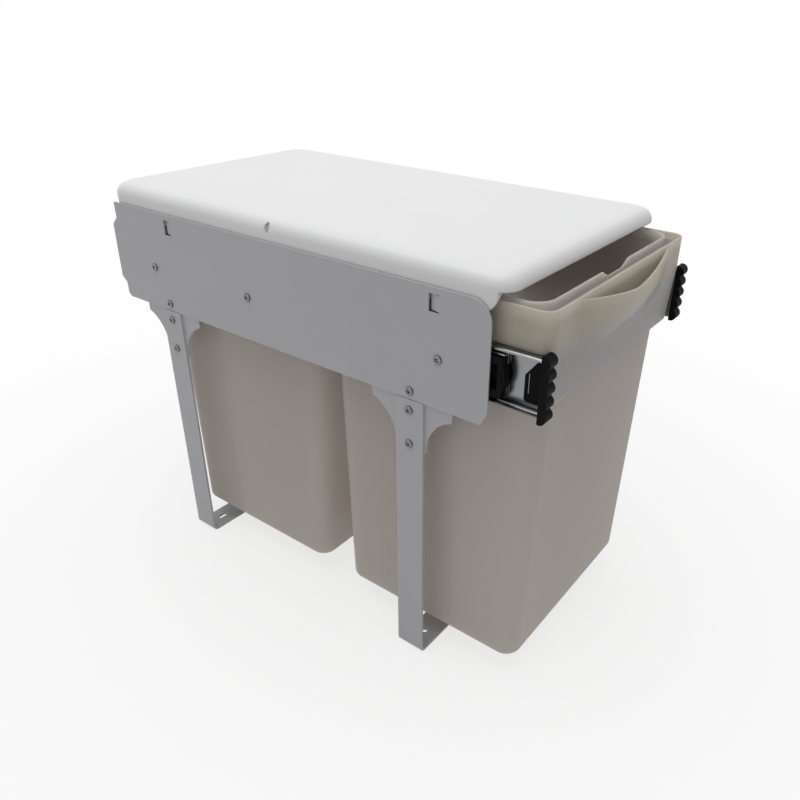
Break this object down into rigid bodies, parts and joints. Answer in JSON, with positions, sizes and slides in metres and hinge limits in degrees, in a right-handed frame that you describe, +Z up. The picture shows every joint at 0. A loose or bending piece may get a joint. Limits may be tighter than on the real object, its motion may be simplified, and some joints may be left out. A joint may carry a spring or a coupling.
{
  "type": "pull out bin frame",
  "caption": "Under-counter pull-out bin unit: side panels on bent strap legs, fixed lid, ball-bearing slides, moulded carrier with finger pocket and lift-out bins.",
  "frame": {"origin": "on the floor plane, midway between the two front floor holes", "axes": "+X to the unit's right seen from the front, +Y towards the back (the carriage pulls out along -Y), +Z up"},
  "size_m": [0.2918, 0.547, 0.4185],
  "materials": {
    "grey_paint": "satin",
    "zinc_screw": "polished",
    "zinc_rail": "bright",
    "cage_steel": "satin",
    "ball_steel": "polished",
    "black_plastic": "matte",
    "cream_plastic": "satin",
    "bin_plastic": "satin",
    "white_plastic": "satin"
  },
  "bodies": {
    "frame": {"side_panel_left": "grey_paint", "side_panel_right": "grey_paint", "front_leg_hoop": "grey_paint", "rear_leg_hoop": "grey_paint", "front_left_gusset": "grey_paint", "front_right_gusset": "grey_paint", "rear_left_gusset": "grey_paint", "rear_right_gusset": "grey_paint", "leg_screws": "zinc_screw", "gusset_screws": "zinc_screw", "runner_screws": "zinc_screw", "fixed_rail_left": "zinc_rail", "fixed_rail_right": "zinc_rail", "rear_buffer_left": "black_plastic", "rear_buffer_right": "black_plastic"},
    "carriage": {"moving_rail_left": "zinc_rail", "moving_rail_right": "zinc_rail", "end_buffer_left": "black_plastic", "end_buffer_right": "black_plastic", "bin_carrier": "cream_plastic", "carrier_screws": "zinc_screw", "front_bin": "bin_plastic", "rear_bin": "bin_plastic"},
    "lid": {"lid": "white_plastic"},
    "middle_slide_left": {"middle_rail_left": "zinc_rail", "middle_plug_left": "black_plastic"},
    "inner_balls_left": {"inner_cage_left": "cage_steel", "inner_balls_left": "ball_steel"},
    "outer_balls_left": {"outer_cage_left": "cage_steel", "outer_balls_left": "ball_steel"},
    "middle_slide_right": {"middle_rail_right": "zinc_rail", "middle_plug_right": "black_plastic"},
    "inner_balls_right": {"inner_cage_right": "cage_steel", "inner_balls_right": "ball_steel"},
    "outer_balls_right": {"outer_cage_right": "cage_steel", "outer_balls_right": "ball_steel"}
  },
  "joints": [
    {"name": "carriage_slide", "type": "slide", "parent": "frame", "child": "carriage", "axis": [0, -1, 0], "range_m": [-0.036, 0.414]},
    {"name": "lid_lift", "type": "slide", "parent": "frame", "child": "lid", "axis": [0, 0, 1], "range_m": [0, 0.1]},
    {"name": "middle_left_slide", "type": "slide", "parent": "frame", "child": "middle_slide_left", "axis": [0, -1, 0], "range_m": [-0.0185, 0.2075]},
    {"name": "inner_cage_left_slide", "type": "slide", "parent": "frame", "child": "inner_balls_left", "axis": [0, -1, 0], "range_m": [-0.0095, 0.104]},
    {"name": "outer_cage_left_slide", "type": "slide", "parent": "frame", "child": "outer_balls_left", "axis": [0, -1, 0], "range_m": [-0.0275, 0.311]},
    {"name": "middle_right_slide", "type": "slide", "parent": "frame", "child": "middle_slide_right", "axis": [0, -1, 0], "range_m": [-0.0185, 0.2075]},
    {"name": "inner_cage_right_slide", "type": "slide", "parent": "frame", "child": "inner_balls_right", "axis": [0, -1, 0], "range_m": [-0.0095, 0.104]},
    {"name": "outer_cage_right_slide", "type": "slide", "parent": "frame", "child": "outer_balls_right", "axis": [0, -1, 0], "range_m": [-0.0275, 0.311]}
  ],
  "couplings": [
    {"joint": "middle_left_slide", "follows": "carriage_slide", "ratio": 0.5},
    {"joint": "inner_cage_left_slide", "follows": "carriage_slide", "ratio": 0.25},
    {"joint": "outer_cage_left_slide", "follows": "carriage_slide", "ratio": 0.75},
    {"joint": "middle_right_slide", "follows": "carriage_slide", "ratio": 0.5},
    {"joint": "inner_cage_right_slide", "follows": "carriage_slide", "ratio": 0.25},
    {"joint": "outer_cage_right_slide", "follows": "carriage_slide", "ratio": 0.75}
  ]
}
